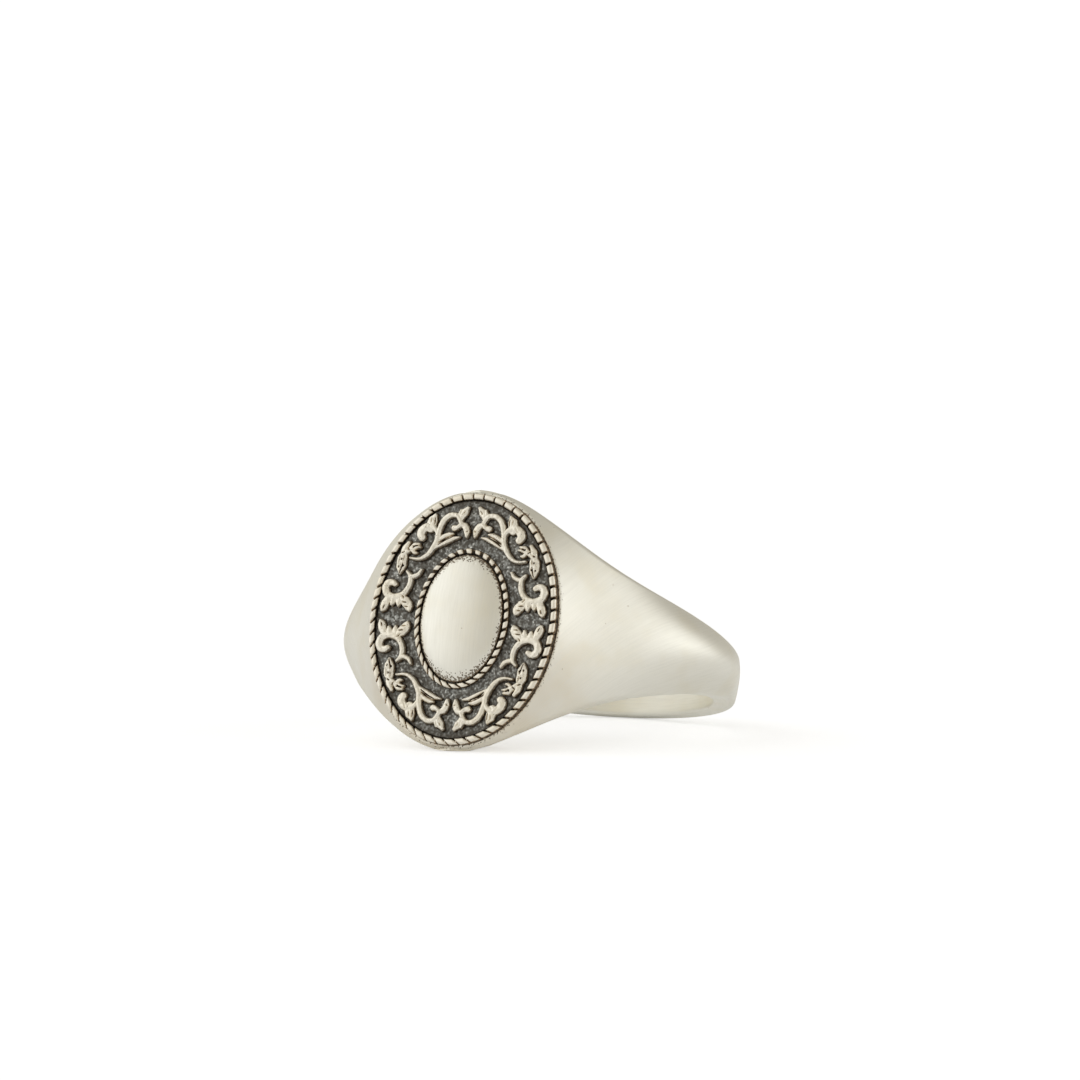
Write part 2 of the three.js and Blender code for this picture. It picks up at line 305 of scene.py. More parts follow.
def oxidised_ground(name):
    """Blackened ground whose 'crest' attribute is worn to grey and sparkles a little."""
    n = Nodes(name)
    place = n.place_mm()
    lumps = n.noise(place, 3.2, 4.0, 0.6)
    grit = n.noise(place, 14.0, 3.0, 0.7)
    drawn = n.cells(place, GLINT_CELLS)[1]
    crest = n.attribute("crest").outputs["Fac"]
    shine = n.math("MULTIPLY", n.remap(crest, 0.35, 1.0), n.remap(drawn, 0.55, 1.0))
    dark = n.mix(crest, HOLLOW, WORN_CREST)
    dark = n.mix(n.remap(lumps, 0.35, 0.65, 0.0, 0.4), dark, BROWN_OXIDE)
    tone = n.mix(shine, dark, GLINT)
    grime = n.math("MULTIPLY", n.attribute("grime").outputs["Fac"], 0.8)
    tone = n.mix(grime, tone, SOOT)
    n.connect(tone, "Base Color")
    n.shader.inputs["Metallic"].default_value = 0.9
    n.connect(n.remap(grit, 0.3, 0.7, 0.34, 0.6), "Roughness")
    bump = n.add("ShaderNodeBump", {"Height": grit, "Distance": 0.03 * MM, "Strength": 0.9})
    n.connect(bump.outputs[0], "Normal")
    return n.material


# Streaks are brush marks per mm along each grain coordinate: few along the stroke, many across.
satin_silver = silver("satin_silver", BRIGHT, roughness=0.40, pits=0.10, streaks=(0.5, 9.0, 9.0))
dome_silver = silver("dome_silver", BRIGHT, roughness=0.37, pits=0.03, streaks=(9.0, 0.5, 9.0))
relief_silver = silver("relief_silver", WARM_BRIGHT, roughness=0.39, pits=0.0,
                       streaks=(3.0, 3.0, 3.0))
oxidised_silver = oxidised_ground("oxidised_silver")


# ---- ring body ----
GRAIN_RADIUS = 11         # turns angles into mm along the band


def half_width(angle):
    """Half the body's width, from the head's down to the band's."""
    head = HEAD_SHARE * np.exp(-((angle / HEAD_SPREAD) ** 2))
    ease = 1 + np.cos(np.pi * np.minimum(angle / BAND_START, 1))
    shoulder = (1 - HEAD_SHARE) / 2 * ease
    return BAND_HALF + (HEAD_HALF - BAND_HALF) * (head + shoulder)


def table_half(angle):
    """Half the oval table's height at this angle, 0 past its ends."""
    x = TABLE * np.tan(np.minimum(angle, TABLE_SPAN))
    return TABLE_HALF_Z * np.sqrt(np.clip(1 - (x / TABLE_HALF_X) ** 2, 0, None))


def outer_radius(angle, z):
    """Flat over the table, then a full shoulder that eases into the round band."""
    level = np.minimum(np.abs(z) / TABLE_HALF_Z, 1)
    rim_angle = np.arctan(TABLE_HALF_X * np.sqrt(1 - level ** 2) / TABLE)
    rim = TABLE / np.cos(rim_angle)
    along = np.clip((angle - rim_angle) / (SHOULDER_END - rim_angle), 0, 1)
    across = (z / half_width(angle)) ** 2
    swell = (FULLNESS - SHOULDER_CROWN * across) * np.sin(np.pi * along ** SWELL_LEAN) ** 2
    taper = (rim - BAND_RADIUS) * (1 - along) ** 4
    shoulder = BAND_RADIUS + taper + swell - CROWN * along * across
    plane = TABLE / np.cos(np.minimum(angle, TABLE_SPAN))
    table = np.where(angle < TABLE_SPAN, plane, FAR)
    lower = np.minimum(shoulder, table)
    blend = np.log1p(np.exp(-np.abs(shoulder - table) / RIM_SOFTNESS))
    return lower - RIM_SOFTNESS * blend


def body_section(angle):
    """Half sections at all angles: radius and z, from the bore's middle round to the outside's."""
    width = half_width(angle)
    table = table_half(angle)
    soft = OUTER_EDGE + HEAD_EDGE * np.exp(-((angle / EDGE_SPREAD) ** 2))
    corner = np.minimum(soft, 0.6 * (width - table))
    edge = width - corner
    fall = (outer_radius(angle, edge - EDGE_STEP) - outer_radius(angle, edge)) / EDGE_STEP
    tilt = np.arctan(np.clip(fall, 0, 2))
    shoulder_z = width - corner * (1 - np.sin(tilt))
    corner_r = outer_radius(angle, shoulder_z) - corner * np.cos(tilt)
    crease = np.maximum(table, 0.4 * width)
    taper = HEAD_TAPER * np.exp(-((angle / TAPER_SPREAD) ** 2))
    depth = outer_radius(np.sqrt(angle ** 2 + TAPER_ROUNDING), shoulder_z) - corner
    inner = BORE_RADIUS + BORE_EDGE
    wall = width - taper * (depth - inner)
    section = []
    for t in np.linspace(0, 1, 10, endpoint=False):    # the bore
        section.append((BORE_RADIUS + 0 * angle, t * (wall - BORE_EDGE)))
    for t in np.linspace(0, np.pi / 2, 6):             # its rounded edge
        radius = BORE_RADIUS + BORE_EDGE * (1 - np.cos(t))
        section.append((radius, wall - BORE_EDGE * (1 - np.sin(t))))
    for t in np.linspace(0, 1, 7)[1:-1]:               # the flat side
        section.append((inner + t * (corner_r - inner), wall + t * (width - wall)))
    for t in np.linspace(0, 1, 12, endpoint=False):    # the outside's rounded edge
        swing = t * (np.pi / 2 - tilt)
        section.append((corner_r + corner * np.sin(swing), edge + corner * np.cos(swing)))
    for t in np.linspace(0, 1, 14, endpoint=False):    # the outside, down to the table's rim
        z = shoulder_z + t * (crease - shoulder_z)
        section.append((outer_radius(angle, z), z))
    for t in np.linspace(0, 1, 19):                    # and on to the middle
        z = crease * (1 - t)
        section.append((outer_radius(angle, z), z))
    return np.stack([np.stack(np.broadcast_arrays(*s), axis=-1) for s in section], axis=1)


def make_body():
    head = np.linspace(0, 45, 150, endpoint=False)
    rest = np.linspace(45, 180, 151)
    half_turn = np.radians(np.concatenate([head, rest]))
    turn = np.concatenate([half_turn, 2 * np.pi - half_turn[-2:0:-1]])
    angle = np.minimum(turn, 2 * np.pi - turn)
    half = body_section(angle)
    lower = half * [1, -1]
    upper = half[:, -2:0:-1, :]
    section = np.concatenate([lower, upper], axis=1)
    radius, z = section[..., 0], section[..., 1]
    x = radius * np.sin(turn)[:, None]
    y = -radius * np.cos(turn)[:, None]
    points = np.stack([x, y, z], axis=-1)
    step = np.linalg.norm(np.diff(section, axis=1, prepend=section[:, :1]), axis=-1)
    across = np.cumsum(step, axis=1)
    round_band = np.broadcast_to(turn[:, None] * GRAIN_RADIUS, across.shape)
    grain = np.stack([round_band, across, 0 * across], axis=-1)

    # Oxide lies on the table under the rope and specks round it. Below the head lies painted
    # light: a warm painted reflection of the floor with painted shade, strongest towards -z.
    past = np.sqrt((x / GRIMY_HALF_X) ** 2 + (z / GRIMY_HALF_Z) ** 2) - 1.0
    past = past + 0.005 * wobble(points, 2.5, 9.0)
    grime = np.where(y < -FACE_START * TABLE, np.clip(0.75 - past / 0.014, -1, 1.5), 0.0)
    facing = smoothstep(-0.94 * TABLE, -FACE_START * TABLE, y)
    stain = facing * np.clip(0.85 - past / 0.05, 0, 1)
    # tan is painted light: a warm painted floor reflection and painted shade, growing towards -z.
    tan = np.where(y < -0.5 * TABLE, np.clip(1.0 - past / 0.45, 0, 1), 0.0)
    tan = tan * smoothstep(2.5, -5.5, z)
    faces = torus_faces(len(turn), section.shape[1])
    add_piece("ring_body_silver", points, faces, satin_silver, "satin_silver", "ring_body",
              grime=grime, grain=grain, stain=stain, tan=tan)


# ---- rope borders ----
BEAD_STEPS = 18           # mesh steps along one bead
WIRE_STEPS = 26           # and round the wire
OVAL_STEPS = 6001         # points that measure an oval's length
ROPE_TWIST = math.radians(240)   # turn at which the beads slant most


def oval(half_x, half_z, count):
    """Turns, places and normals of count points at equal steps along an oval, anticlockwise
    from its right end."""
    fine = np.linspace(0, 2 * np.pi, OVAL_STEPS)
    x, z = half_x * np.cos(fine), half_z * np.sin(fine)
    length = np.concatenate([[0], np.cumsum(np.hypot(np.diff(x), np.diff(z)))])
    turn = np.interp(np.arange(count) / count * length[-1], length, fine)
    normal = np.stack([np.cos(turn) * half_z, np.sin(turn) * half_x], axis=-1)
    normal /= np.linalg.norm(normal, axis=-1, keepdims=True)
    return turn, half_x * np.cos(turn), half_z * np.sin(turn), normal


def rounded_square(wave, power):
    """A cosine or sine pushed outwards, so that a round section grows flatter sides."""
    return np.sign(wave) * np.abs(wave) ** power


def make_rope(name, node, beads, half_width_mm, slant, gap, seed):
    """A band of twisted wire, flattened into slanting beads with dark gaps between them.
    slant and gap are functions of the turn round the oval, as shares of a bead's length."""
    low, high = ring_box(node)
    reach_x, reach_z = high[0], high[2]
    bottom, top = -high[1] - TABLE, -low[1] - TABLE
    count = beads * BEAD_STEPS
    turn, x, z, normal = oval(reach_x - half_width_mm, reach_z - half_width_mm, count)
    round_wire = 2 * np.pi * np.arange(WIRE_STEPS) / WIRE_STEPS
    across = rounded_square(np.cos(round_wire), 0.68)[None, :]
    rise = rounded_square(np.sin(round_wire), 0.62)[None, :]
    lean = slant(turn)[:, None] * across * 0.5
    phase = (np.arange(count) / BEAD_STEPS)[:, None] - lean
    index = np.floor(phase)
    local = np.abs(2 * (phase - index) - 1)
    bead = smoothstep(1.0, 1.0 - gap(turn)[:, None], local)
    rng = np.random.default_rng(seed)
    varied = rng.uniform(-1, 1, (beads, 3))[index.astype(int) % beads]
    width = half_width_mm * (0.70 + 0.30 * bead) * (1 + 0.09 * varied[..., 0])
    gap_level = bottom + 0.25 * (top - bottom)
    crown = top - 0.025 * (1 + varied[..., 1])
    upper = gap_level + (crown - gap_level) * bead * (1 - 0.06 * local ** 2)
    out = across * width
    lift = bottom + np.where(rise > 0, upper - bottom, EMBED) * rise
    px = x[:, None] + normal[:, :1] * out
    pz = z[:, None] + normal[:, 1:] * out
    points = on_table(px, pz, lift)

    height = (lift - gap_level) / (top - gap_level)
    grime = 1 - bead * smoothstep(0.25, 0.8, height)
    worn = 1 - 0.45 * smoothstep(0.2, 0.9, across)
    grime = np.clip(grime * worn + 0.3 * smoothstep(0.7, 1.0, np.abs(across)), 0, 1)
    stain = np.clip(0.15 + 0.5 * grime, 0, 1)
    faces = torus_faces(count, WIRE_STEPS)[:, ::-1]
    add_piece(name, points, faces, relief_silver, "relief_silver", node,
              grime=grime, grain=np.stack([px, pz, lift], axis=-1), stain=stain)


# ---- ground plate and dome ----
DOME_EDGE = 0.16          # height of the dome's upright rim
DOME_REACH = 1.02         # of the CAD dome's half sizes, to close the gap to the rope


def oval_cap(rings, spokes, half_x, half_z, top, bottom):
    """A closed oval piece: rings of points from the rim to the middle, a rim wall, a flat back.
    rings is the list of radii from 1 down, top(share, x, z) gives the height above the table.
    Returns the points, the faces, and x and z of the rings' points."""
    turn = 2 * np.pi * np.arange(spokes) / spokes
    share = np.asarray(rings)[:, None]
    x, z = half_x * share * np.cos(turn), half_z * share * np.sin(turn)
    lift = top(share + 0 * x, x, z)
    rim_back = on_table(x[0], z[0], np.full(spokes, bottom))
    middles = on_table(np.zeros(2), np.zeros(2), np.array([lift[-1].mean(), bottom]))
    points = np.concatenate([on_table(x, z, lift).reshape(-1, 3), rim_back, middles])

    rows = len(rings)
    ring, spoke = np.meshgrid(np.arange(rows - 1), np.arange(spokes), indexing="ij")
    outer, inner = ring * spokes, (ring + 1) * spokes
    following = (spoke + 1) % spokes
    quads = [outer + spoke, outer + following, inner + following, inner + spoke]
    faces = np.stack(quads, axis=-1).reshape(-1, 4).tolist()
    spoke = np.arange(spokes)
    following = (spoke + 1) % spokes
    back = rows * spokes
    wall = [back + spoke, back + following, following, spoke]
    faces.extend(np.stack(wall, axis=-1).tolist())
    pairs = list(zip(spoke.tolist(), following.tolist()))
    last = (rows - 1) * spokes
    centre_top, centre_back = back + spokes, back + spokes + 1
    faces.extend([[last + a, last + b, centre_top] for a, b in pairs])
    faces.extend([[back + b, back + a, centre_back] for a, b in pairs])
    return points, faces, x, z


def pad(values, last):
    """An attribute for oval_cap's extra points: its rim again for the back, then two middles."""
    return np.concatenate([values.ravel(), values[0], [last, last]])


def ground_grains(x, z):
    """The granular texture's height at places on the table, about -1 to 1."""
    flat = on_plane(x, z)
    return 0.4 * wobble(flat, 4.6, 1.0) + 0.65 * wobble(flat, 9.0, 2.0)


def make_ground():
    half_x, _, half_z = ring_box("ground_plate")[1]
    rings = np.concatenate([np.linspace(1, 0.44, 76), [0.3, 0.1]])

    def top(share, x, z):
        return GROUND - 0.012 + GRAIN_HEIGHT * ground_grains(x, z)

    points, faces, x, z = oval_cap(rings, 760, half_x, half_z, top, 0.0)
    crest = smoothstep(-0.3, 0.5, ground_grains(x, z))

    # Oxide is thickest against the ropes and against the scrolls.
    quarter = np.stack([np.abs(x).ravel(), np.abs(z).ravel()], axis=-1)
    gap = np.full(len(quarter), FAR)
    for s in CORNER_SCROLL + LEAF_SPRAY + SIDE_SCROLL:
        gap = np.minimum(gap, ribbon_field(quarter, s["line"], s["half"])[0])
    by_scroll = 0.75 * smoothstep(0.20, 0.04, gap).reshape(x.shape)
    share = np.sqrt((x / half_x) ** 2 + (z / half_z) ** 2)
    by_rope = np.maximum(smoothstep(0.955, 1.0, share), 1 - smoothstep(0.53, 0.57, share))
    grime = np.maximum(by_rope, by_scroll)
    add_piece("ground_plate_oxide", points, faces, oxidised_silver, "oxidised_silver",
              "ground_plate", crest=pad(crest, 0.0), grime=pad(grime, 1.0))


def make_dome():
    low, high = ring_box("dome")
    base, peak = -high[1] - TABLE, -low[1] - TABLE
    half_x, half_z = high[0] * DOME_REACH, high[2] * DOME_REACH
    foot = base + DOME_EDGE
    rings = np.sin(np.linspace(np.pi / 2, 0, 130, endpoint=False))

    def top(share, x, z):
        """A full dome, dented a little at both ends."""
        rounded = (1 - np.clip(share, 0, 1) ** 2.3) ** 0.62
        pole = smoothstep(0.55, 0.95, np.abs(z) / high[2]) * smoothstep(0.80, 0.97, share)
        dents = np.clip(wobble(on_plane(x, z), 6.5, 3.0) - 0.05, 0, 1)
        return foot + (peak - foot) * rounded - 0.05 * pole * dents

    points, faces, x, z = oval_cap(rings, 460, half_x, half_z, top, base - EMBED)
    share = np.sqrt((x / half_x) ** 2 + (z / half_z) ** 2)
    pole = smoothstep(0.45, 0.95, np.abs(z) / half_z)
    stain = 1.15 * smoothstep(0.86 - 0.10 * pole, 1.0, share)
    grime = 0.6 * smoothstep(0.965, 1.0, share)
    flat = on_plane(x, z)
    grain = np.concatenate([flat.reshape(-1, 3), flat[0], np.zeros((2, 3))])
    add_piece("dome_silver", points, faces, dome_silver, "satin_silver", "dome",
              grime=pad(grime, 0.0), stain=pad(stain, 0.0), grain=grain)


# ---- scrollwork ----
# A stroke is a ribbon of metal: a smooth centreline of points [x, z] on the table, half widths
# along it, and its height. A groove is a centreline, a half width and a depth. All of them
# belong to the upper right quarter.
def stroke(line, half, height=LEAF_HEIGHT):
    return {"line": line, "half": half, "height": height}


CORNER_SCROLL = [
    stroke([[0.69, 5.5], [0.98, 5.9], [1.43, 5.92], [1.82, 5.6], [2.04, 5.0], [2.16, 4.3],
            [2.58, 3.62], [3.1, 3.35], [3.64, 3.38]], [0.13, 0.16, 0.15, 0.06], SCROLL_HEIGHT),
    stroke([[2.12, 4.85], [2.36, 5.15], [2.76, 5.23], [3.07, 5.05], [3.17, 4.75], [3.05, 4.58]],
           [0.1, 0.2, 0.25, 0.2], SCROLL_HEIGHT),
    stroke([[2.62, 5.2], [2.52, 5.6], [2.38, 5.95]], [0.3, 0.27, 0.06]),
    stroke([[2.21, 4.05], [1.72, 4.28], [1.23, 4.54], [0.71, 4.67]], [0.12, 0.12, 0.145, 0.05]),
    stroke([[2.09, 4.42], [1.72, 4.68], [1.38, 4.83], [1.13, 4.86]], [0.1, 0.12, 0.12, 0.05]),
    stroke([[0.77, 5.75], [0.59, 6.1], [0.37, 6.38]], [0.16, 0.22, 0.1]),
    stroke([[0.81, 5.8], [0.83, 6.02], [0.79, 6.25]], [0.12, 0.12, 0.06]),
    stroke([[0.69, 5.45], [0.44, 5.3], [0.3, 5.02], [0.27, 4.72]], [0.13, 0.19, 0.19, 0.08]),
    stroke([[0.67, 5.42], [0.89, 5.24], [1.11, 5.2]], [0.12, 0.13, 0.17], SCROLL_HEIGHT),
]
CORNER_GROOVES = [
    ([[2.36, 5.4], [2.36, 5.75]], 0.035, 0.16),
    ([[2.58, 5.5], [2.56, 5.75]], 0.03, 0.12),
    ([[1.13, 4.68], [1.57, 4.47], [1.97, 4.2]], 0.03, 0.3),
    ([[0.49, 6.2], [0.61, 6.02]], 0.03, 0.1),
    ([[0.2, 5.05], [0.3, 4.98]], 0.03, 0.12),
    ([[2.8, 5.3], [2.95, 5.0]], 0.03, 0.06),
]
LEAF_SPRAY = [
    stroke([[4.05, 3.7], [4.17, 3.3], [4.21, 2.9], [4.23, 2.45]], [0.14, 0.3, 0.28, 0.05]),
    stroke([[4.16, 3.5], [4.08, 3.9], [3.86, 4.28]], [0.16, 0.18, 0.09]),
    stroke([[4.08, 3.62], [3.74, 3.84], [3.39, 3.98], [3.12, 4.02]], [0.12, 0.12, 0.1, 0.05],
           SCROLL_HEIGHT),
    stroke([[3.72, 3.9], [3.49, 4.14], [3.21, 4.2]], [0.12, 0.12, 0.07]),
    stroke([[3.62, 3.84], [3.45, 3.7], [3.3, 3.68]], [0.1, 0.1, 0.06]),
]
LEAF_GROOVES = [
    ([[4.08, 3.05], [4.13, 2.85], [4.23, 2.5]], 0.035, 0.25),
    ([[4.03, 3.5], [4.07, 3.2]], 0.03, 0.12),
    ([[4.29, 3.45], [4.35, 3.0]], 0.03, 0.08),
    ([[3.3, 4.1], [3.54, 4.02]], 0.035, 0.25),
    ([[4.16, 3.32], [4.2, 3.28]], 0.045, 0.22),
    ([[4.32, 2.9], [4.3, 2.82]], 0.04, 0.2),
    ([[4.02, 2.95], [4.06, 2.88]], 0.035, 0.2),
    ([[4.2, 3.66], [4.05, 3.72]], 0.03, 0.18),
    ([[3.86, 3.95], [3.74, 3.82]], 0.03, 0.2),
    ([[3.55, 4.08], [3.48, 3.98]], 0.03, 0.16),
]
SIDE_SCROLL = [
    stroke([[3.74, 2.58], [3.54, 2.35], [3.49, 1.95], [3.66, 1.5], [3.99, 1.2], [4.43, 1.1],
            [4.84, 1.24], [5, 1.58], [4.89, 1.87], [4.64, 1.94], [4.43, 1.84]],
           [0.08, 0.15, 0.17, 0.21, 0.2, 0.15], SCROLL_HEIGHT),
    stroke([[2.85, 2.7], [3.03, 2.45], [3.35, 2.32], [3.58, 2.38]], [0.08, 0.12, 0.12, 0.1],
           SCROLL_HEIGHT),
    stroke([[3.94, 1.15], [3.66, 0.86], [3.44, 0.6], [3.35, 0.34]], [0.14, 0.28, 0.27, 0.08]),
    stroke([[4.05, 1.12], [4.09, 0.86], [4.06, 0.62]], [0.2, 0.19, 0.09]),
    stroke([[4.38, 1.08], [4.46, 0.85], [4.5, 0.66]], [0.2, 0.18, 0.09]),
    stroke([[4.74, 1.1], [4.9, 0.75], [4.98, 0.5], [5.06, 0.3]], [0.18, 0.25, 0.23, 0.09]),
]
SIDE_GROOVES = [
    ([[3.56, 0.8], [3.82, 0.82]], 0.03, 0.16),
    ([[3.44, 0.55], [3.66, 0.56]], 0.03, 0.12),
    ([[4.92, 0.6], [5, 0.42]], 0.04, 0.16),
    ([[3.89, 1.2], [3.74, 1.05]], 0.03, 0.12),
]


def smooth_line(line, steps=10):
    """Catmull-Rom curve through the points."""
    pts = np.array(line, float)
    before, after = 2 * pts[0] - pts[1], 2 * pts[-1] - pts[-2]
    p = np.vstack([before, pts, after])
    t = np.linspace(0, 1, steps, endpoint=False)[:, None]
    out = []
    for a, b, c, d in zip(p[:-3], p[1:-2], p[2:-1], p[3:]):
        out.append(0.5 * (2 * b + (c - a) * t + (2 * a - 5 * b + 4 * c - d) * t ** 2
                          + (3 * b - a - 3 * c + d) * t ** 3))
    return np.vstack(out + [pts[-1:]])


def ribbon_field(grid, line, half):
    """For each grid point: how far inside the ribbon it lies (negative inside, mm), and the
    distance from the centreline as a share of the half width."""
    path = smooth_line(line)
    widths = np.interp(np.linspace(0, 1, len(path)), np.linspace(0, 1, len(half)), half)
    best = np.full(len(grid), FAR)
    share = np.full(len(grid), FAR)
    for start, end, first, last in zip(path[:-1], path[1:], widths[:-1], widths[1:]):
        run = end - start
        t = np.clip(((grid - start) @ run) / (run @ run), 0, 1)
        gap = np.linalg.norm(grid - start - t[:, None] * run, axis=1)
        width = first + (last - first) * t
        better = gap - width < best
        best = np.where(better, gap - width, best)
        share = np.where(better, gap / width, share)
    return best, share


def scroll_mesh(strokes, grooves):
    """Points (x, z, out), faces and grime of one quarter's scroll, upper right."""
    ends = np.vstack([np.array(s["line"]) for s in strokes])
    low, high = ends.min(0) - SCROLL_MARGIN, ends.max(0) + SCROLL_MARGIN
    gx, gz = np.meshgrid(np.arange(low[0], high[0], SCROLL_PITCH),
                         np.arange(low[1], high[1], SCROLL_PITCH), indexing="ij")
    grid = np.stack([gx.ravel(), gz.ravel()], axis=-1)
    flat = on_plane(grid[:, 0], grid[:, 1])

    # The strokes rise out of the ground with slightly uneven walls.
    jitter = 0.012 * wobble(flat, 2.2, 5.0) + 0.022 * wobble(flat, 6.0, 8.0) - 0.018
    lift = np.full(len(grid), -EMBED)
    for s in strokes:
        inside, share = ribbon_field(grid, s["line"], s["half"])
        crown = s["height"] * (1 - 0.22 * np.clip(share, 0, 1) ** 2.4)
        wall = smoothstep(0.07, -0.035, inside + jitter)
        lift = np.maximum(lift, -EMBED + (crown + EMBED) * wall)
    cut = np.zeros(len(grid))
    for line, width, depth in grooves:
        inside, _ = ribbon_field(grid, line, [width * 0.6, width, width * 0.6])
        cut = np.maximum(cut, depth * smoothstep(0.03, -0.03, inside))
    lift = np.where(lift > 0, np.maximum(lift - cut, 0.02), lift)
    rough = 0.02 * wobble(flat, 3.5, 6.0) + 0.018 * wobble(flat, 7.5, 7.0)
    lift = lift + np.where(lift > 0.1, rough, 0)

    # Cells that the metal touches get a top and a flat back, and their border gets walls.
    solid = (lift > -EMBED + 1e-4).reshape(gx.shape)
    cells = solid[:-1, :-1] | solid[1:, :-1] | solid[1:, 1:] | solid[:-1, 1:]
    columns = gx.shape[1]
    i, j = np.nonzero(cells)
    corner = i * columns + j
    quads = np.stack([corner, corner + columns, corner + columns + 1, corner + 1], axis=-1)
    used, renumbered = np.unique(quads, return_inverse=True)
    quads = renumbered.reshape(quads.shape)
    count = len(used)
    top = np.column_stack([grid[used], lift[used]])
    back = np.column_stack([grid[used], np.full(count, -EMBED - SCROLL_BACK)])
    edges = np.concatenate([quads[:, [k, (k + 1) % 4]] for k in range(4)])
    known = set(map(tuple, edges.tolist()))
    border = [(a, b) for a, b in known if (b, a) not in known]
    walls = [[a, a + count, b + count, b] for a, b in sorted(border)]
    faces = quads.tolist() + (quads[:, ::-1] + count).tolist() + walls

    low_metal = 1 - smoothstep(0.03, 0.27, lift[used])
    in_groove = np.where(lift[used] > 0.02, smoothstep(0.03, 0.14, cut[used]), 0)
    grime = np.concatenate([np.maximum(low_metal, in_groove), np.ones(count)])
    return np.vstack([top, back]), faces, grime


MOTIFS = [
    ("corner_scroll", CORNER_SCROLL, CORNER_GROOVES),
    ("leaf_spray", LEAF_SPRAY, LEAF_GROOVES),
    ("side_scroll", SIDE_SCROLL, SIDE_GROOVES),
]
QUARTERS = [
    ("upper_right", 1, 1),
    ("upper_left", -1, 1),
    ("lower_right", 1, -1),
    ("lower_left", -1, -1),
]


def make_scrolls():
    """Every motif is made once and mirrored into the four quarters."""
    for motif, strokes, grooves in MOTIFS:
        points, faces, grime = scroll_mesh(strokes, grooves)
        for quarter, side, rise in QUARTERS:
            placed = on_table(points[:, 0] * side, points[:, 1] * rise, points[:, 2] + GROUND)
            turned = faces if side * rise > 0 else [face[::-1] for face in faces]
            node = f"{motif}_{quarter}"
            add_piece(f"{node}_silver", placed, turned, relief_silver, "relief_silver", node,
                      grime=grime, grain=points, stain=0.3 + 0.5 * grime)


def outer_slant(turn):
    return 0.35 + 0.35 * np.cos(turn - ROPE_TWIST)


def outer_gap(turn):
    return 0.20 + 0.16 * np.abs(np.cos(turn))


def inner_slant(turn):
    return 0.42 + 0.30 * np.cos(turn - ROPE_TWIST)


def inner_gap(turn):
    return 0.50 + 0.14 * np.sin(turn)


make_body()
make_rope("outer_rope_silver", "outer_rope", beads=59, half_width_mm=0.2,
          slant=outer_slant, gap=outer_gap, seed=11)
make_rope("inner_rope_silver", "inner_rope", beads=38, half_width_mm=0.16,
          slant=inner_slant, gap=inner_gap, seed=12)
make_ground()
make_dome()
make_scrolls()


# ---- floor, light and camera ----
def direction(azimuth, elevation):
    """Unit vector from the object; azimuth 0 points at -Y, 90 at +X, in degrees."""
    a, e = math.radians(azimuth), math.radians(elevation)
    return Vector((math.sin(a) * math.cos(e), -math.cos(a) * math.cos(e), math.sin(e)))


ROOM_LIGHT = 0.59
# Broad lights at infinity: azimuth, elevation, inner and outer half angle in degrees, radiance.
# The last one takes light away, which leaves that side of the room darker.
SOFTBOXES = [
    (-68, 18, 14, 60, 0.52),
    (103, 4, 15, 50, 0.66),
    (170, 52, 15, 60, -0.14),
]
FULL_GLOW = 0.5           # light above the room's at which its colour has turned white
ROOM_TINT = (1.0, 0.962, 0.87, 1)
SOFTBOX_TINT = (1.0, 1.0, 0.985, 1)
BACKDROP = 1.05           # radiance of the white that the camera sees behind the floor

FLOOR_SIZE = 12.0         # half the floor's side, m
FLOOR_STEPS = 24
FLOOR_TONES = (0.89, 0.905, 0.945, 1), (0.91, 0.925, 0.965, 1)
FLOOR_LIGHT = 0.12        # the floor's own light on the object
FLOOR_GLOW = 0.335        # and what the camera sees on top of it, so that the floor turns white


def make_floor():
    mesh = bpy.data.meshes.new("floor")
    side = np.linspace(-FLOOR_SIZE, FLOOR_SIZE, FLOOR_STEPS + 1)
    points = [(x, y, 0.0) for x in side for y in side]
    row = FLOOR_STEPS + 1
    corners = [i * row + j for i in range(FLOOR_STEPS) for j in range(FLOOR_STEPS)]
    faces = [(corner, corner + row, corner + row + 1, corner + 1) for corner in corners]
    mesh.from_pydata(points, [], faces)
    n = Nodes("floor")
    place = n.add("ShaderNodeTexCoord").outputs["Object"]
    n.connect(n.mix(n.noise(place, 30.0), *FLOOR_TONES), "Base Color")
    n.shader.inputs["Roughness"].default_value = 0.9
    n.shader.inputs["Specular IOR Level"].default_value = 0.1
    n.shader.inputs["Emission Color"].default_value = (1.0, 1.0, 1.0, 1.0)
    seen = n.add("ShaderNodeLightPath").outputs["Is Camera Ray"]
    n.connect(n.math("MULTIPLY_ADD", seen, FLOOR_GLOW, FLOOR_LIGHT), "Emission Strength")
    mesh.materials.append(n.material)
    floor = bpy.data.objects.new("floor", mesh)
    bpy.context.scene.collection.objects.link(floor)


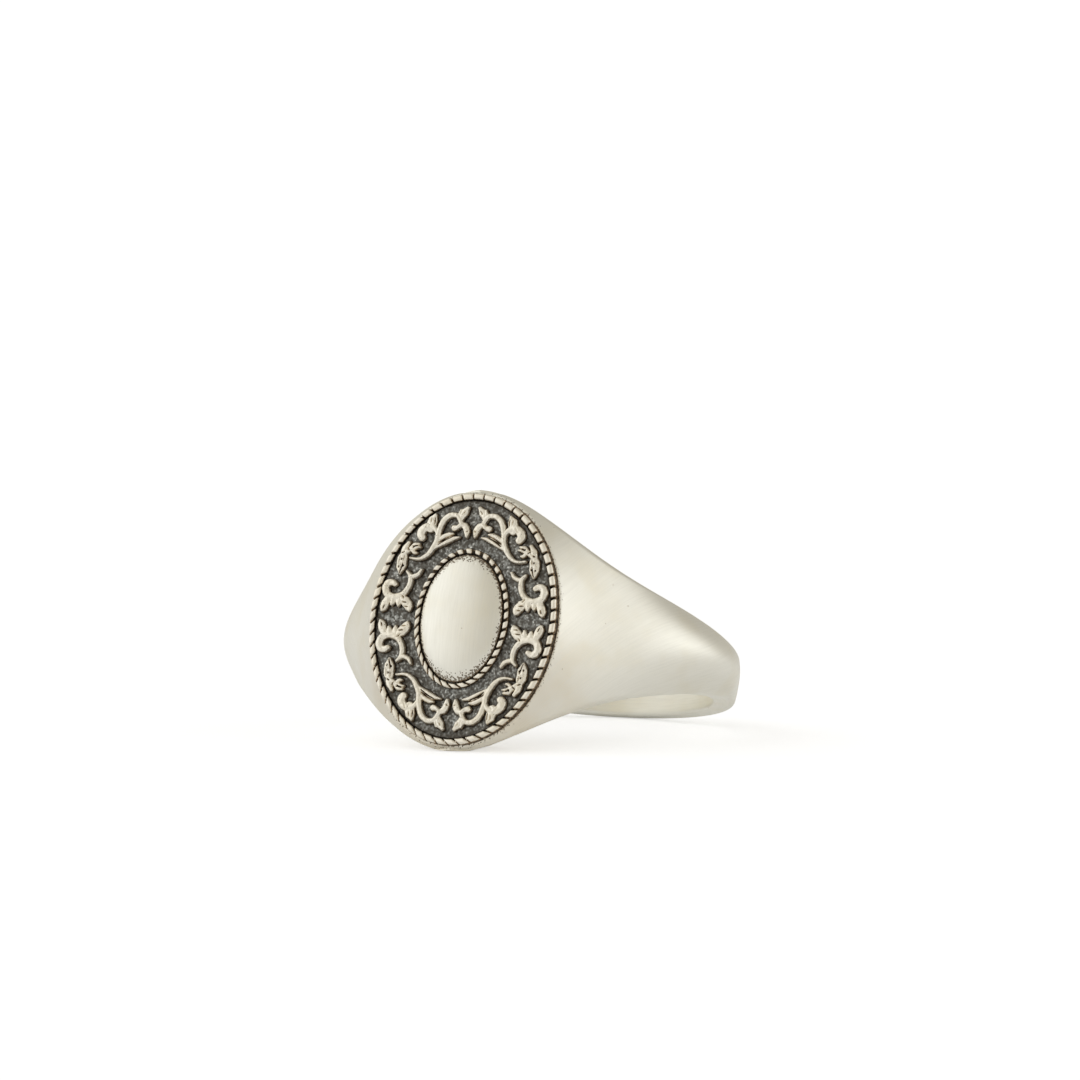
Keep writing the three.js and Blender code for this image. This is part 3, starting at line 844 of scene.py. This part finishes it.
def make_world():
    """White to the camera; as a light, a soft warm room with a few broad, brighter walls."""
    world = bpy.data.worlds.new("studio")
    world.use_nodes = True
    tree = world.node_tree
    tree.nodes.clear()

    def node(kind, **settings):
        made = tree.nodes.new(kind)
        for key, value in settings.items():
            setattr(made, key, value)
        return made

    place = node("ShaderNodeTexCoord").outputs["Generated"]
    total = None
    for azimuth, elevation, inner, outer, radiance in SOFTBOXES:
        dot = node("ShaderNodeVectorMath", operation="DOT_PRODUCT")
        dot.inputs[1].default_value = direction(azimuth, elevation)
        tree.links.new(place, dot.inputs[0])
        glow = node("ShaderNodeMapRange", interpolation_type="SMOOTHSTEP")
        glow.inputs["From Min"].default_value = math.cos(math.radians(outer))
        glow.inputs["From Max"].default_value = math.cos(math.radians(inner))
        glow.inputs["To Max"].default_value = radiance
        tree.links.new(dot.outputs["Value"], glow.inputs["Value"])
        add = node("ShaderNodeMath", operation="ADD")
        add.inputs[1].default_value = ROOM_LIGHT
        if total is not None:
            tree.links.new(total, add.inputs[1])
        tree.links.new(glow.outputs[0], add.inputs[0])
        total = add.outputs[0]
    ray = node("ShaderNodeLightPath")
    seen = node("ShaderNodeBackground")
    seen.inputs["Color"].default_value = (1, 1, 1, 1)
    seen.inputs["Strength"].default_value = BACKDROP
    light = node("ShaderNodeBackground")
    share = node("ShaderNodeMapRange")
    share.inputs["From Min"].default_value = ROOM_LIGHT
    share.inputs["From Max"].default_value = ROOM_LIGHT + FULL_GLOW
    tree.links.new(total, share.inputs["Value"])
    tint = node("ShaderNodeMix", data_type="RGBA")
    tint.inputs[6].default_value = ROOM_TINT
    tint.inputs[7].default_value = SOFTBOX_TINT
    tree.links.new(share.outputs[0], tint.inputs[0])
    tree.links.new(tint.outputs[2], light.inputs["Color"])
    tree.links.new(total, light.inputs["Strength"])
    mix = node("ShaderNodeMixShader")
    tree.links.new(ray.outputs["Is Camera Ray"], mix.inputs[0])
    tree.links.new(light.outputs[0], mix.inputs[1])
    tree.links.new(seen.outputs[0], mix.inputs[2])
    output = node("ShaderNodeOutputWorld")
    tree.links.new(mix.outputs[0], output.inputs[0])
    bpy.context.scene.world = world


VIEW_AZIMUTH, VIEW_ELEVATION, VIEW_ROLL = 25.5, 4.66, 0.1   # degrees
VIEW_DISTANCE = 0.4                      # m, as the next three
FRAME_WIDTH = 0.06301                    # width of the view at the ring
AIM_RIGHT, AIM_UP = -0.00108, 0.00714    # the view's middle, from the bore's centre
SENSOR_WIDTH = 36.0                      # mm


def make_camera():
    camera = bpy.data.objects.new("camera", bpy.data.cameras.new("camera"))
    bpy.context.scene.collection.objects.link(camera)
    camera.data.sensor_width = SENSOR_WIDTH
    camera.data.lens = SENSOR_WIDTH * VIEW_DISTANCE / FRAME_WIDTH
    camera.data.clip_start, camera.data.clip_end = 0.01, 20.0
    centre = Vector(BORE_CENTRE)
    back = direction(VIEW_AZIMUTH, VIEW_ELEVATION)
    right = direction(VIEW_AZIMUTH + 90, 0)
    up = back.cross(right)
    camera.location = centre + back * VIEW_DISTANCE
    aim = centre + right * AIM_RIGHT + up * AIM_UP
    turn = (camera.location - aim).to_track_quat("Z", "Y").to_matrix().to_4x4()
    roll = Matrix.Rotation(math.radians(VIEW_ROLL), 4, "Z")
    camera.matrix_world = Matrix.Translation(camera.location) @ turn @ roll
    bpy.context.scene.camera = camera


make_floor()
make_world()
make_camera()
bpy.context.scene.view_settings.view_transform = "Standard"
